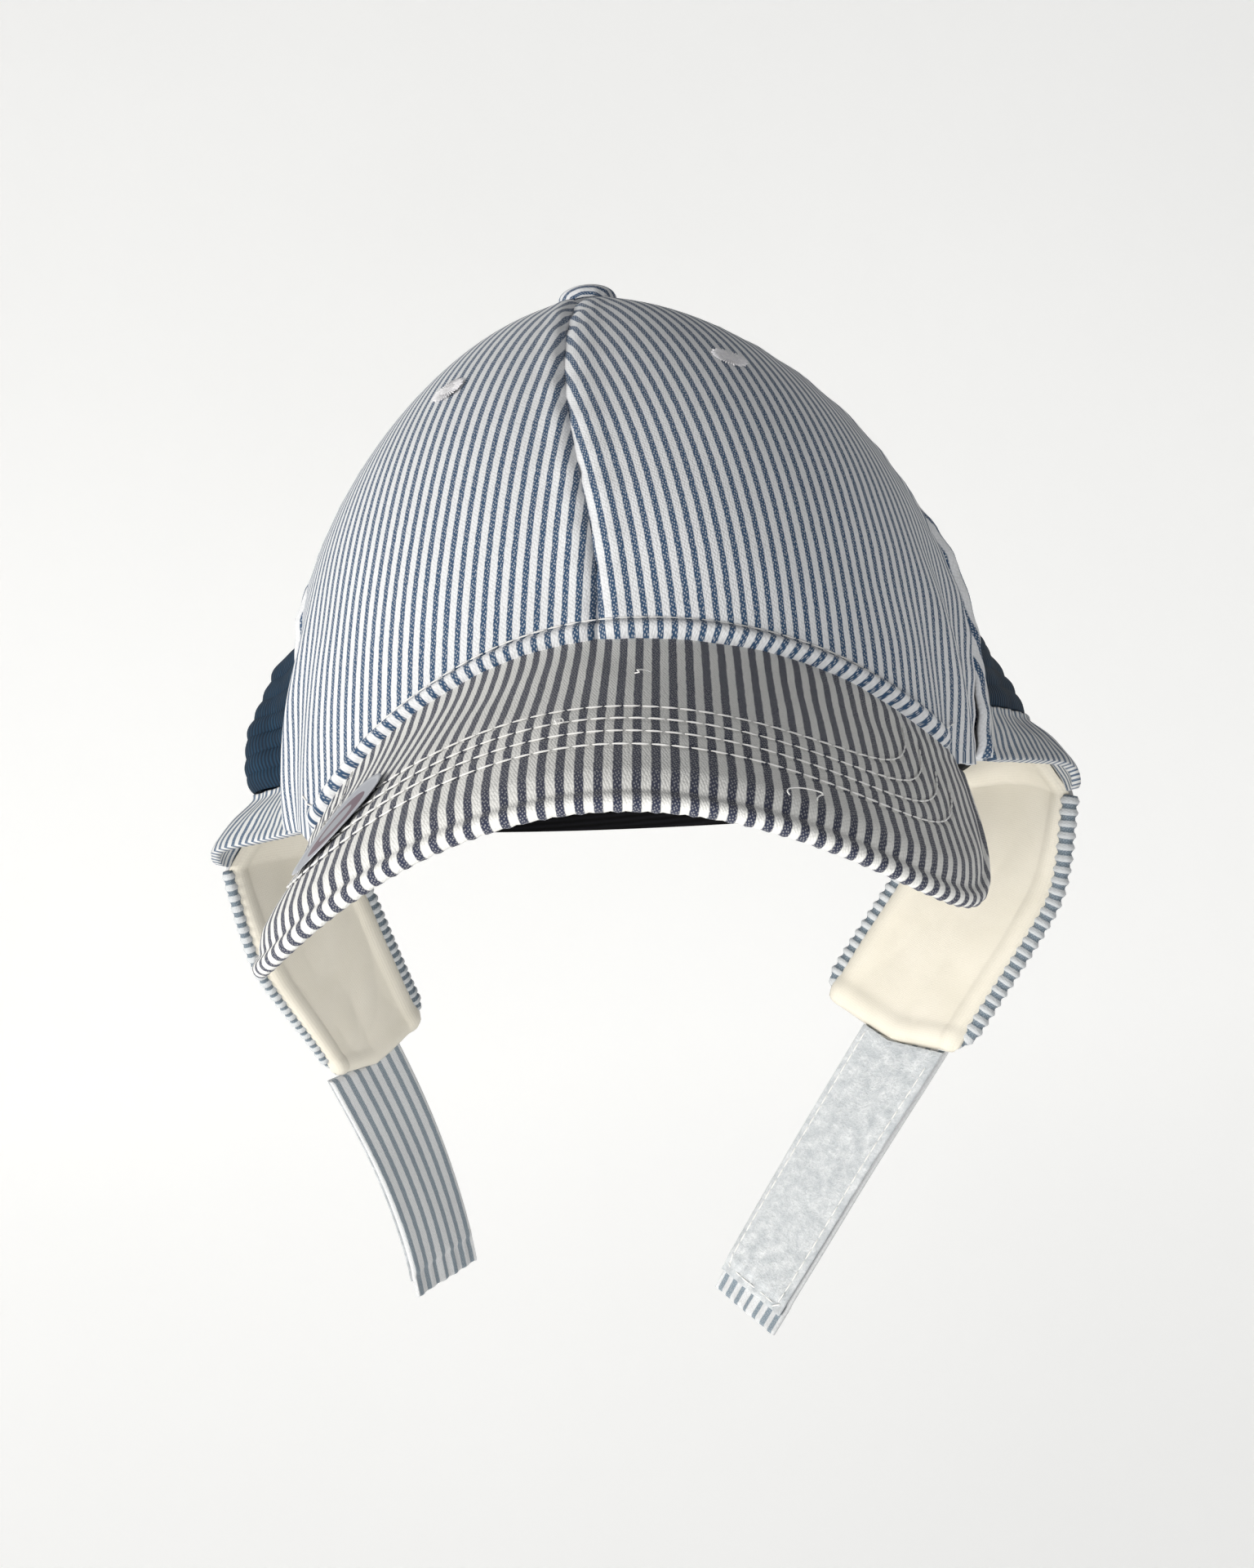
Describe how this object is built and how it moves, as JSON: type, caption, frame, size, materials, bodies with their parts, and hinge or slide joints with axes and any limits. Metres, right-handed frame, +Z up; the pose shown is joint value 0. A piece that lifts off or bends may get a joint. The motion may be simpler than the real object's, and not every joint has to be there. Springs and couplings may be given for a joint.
{
  "type": "cap with ear flaps",
  "caption": "Soft striped cotton cap with a curved peak, a ribbed stretch band at the back, and lined ear flaps whose chin straps close with touch tape.",
  "frame": {"origin": "centre of the head opening, on the plane of the rim", "axes": "+Z up through the button, the peak towards -Y, the wearer's left at +X"},
  "size_m": [0.2145, 0.2923, 0.25],
  "materials": {
    "striped_cotton": "woven blue and white stripe",
    "eyelet_thread": "buttonhole stitch",
    "foil": "silver foil film",
    "ribbed_band": "ribbed elastic knit",
    "sweatband_tape": "plain woven tape",
    "lining_cotton": "plain cotton",
    "hook_tape": "hook side of touch tape",
    "loop_tape": "loop side of touch tape"
  },
  "bodies": {
    "root": {"crown_front_right": "striped_cotton", "crown_front_left": "striped_cotton", "crown_side_right": "striped_cotton", "crown_side_left": "striped_cotton", "crown_back_right": "striped_cotton", "crown_back_left": "striped_cotton", "eyelet_front_right": "eyelet_thread", "eyelet_front_left": "eyelet_thread", "eyelet_side_right": "eyelet_thread", "eyelet_side_left": "eyelet_thread", "eyelet_back_right": "eyelet_thread", "eyelet_back_left": "eyelet_thread", "top_button": "striped_cotton", "peak": "striped_cotton", "peak_sticker": "foil", "back_band": "ribbed_band", "rear_hem": "striped_cotton", "sweatband": "sweatband_tape", "flap_shell_right": "striped_cotton", "flap_shell_left": "striped_cotton", "flap_lining_right": "lining_cotton", "flap_lining_left": "lining_cotton", "flap_binding_right": "striped_cotton", "flap_binding_left": "striped_cotton", "strap_right": "striped_cotton", "strap_left": "striped_cotton", "hook_strip": "hook_tape", "loop_strip": "loop_tape"}
  },
  "joints": []
}
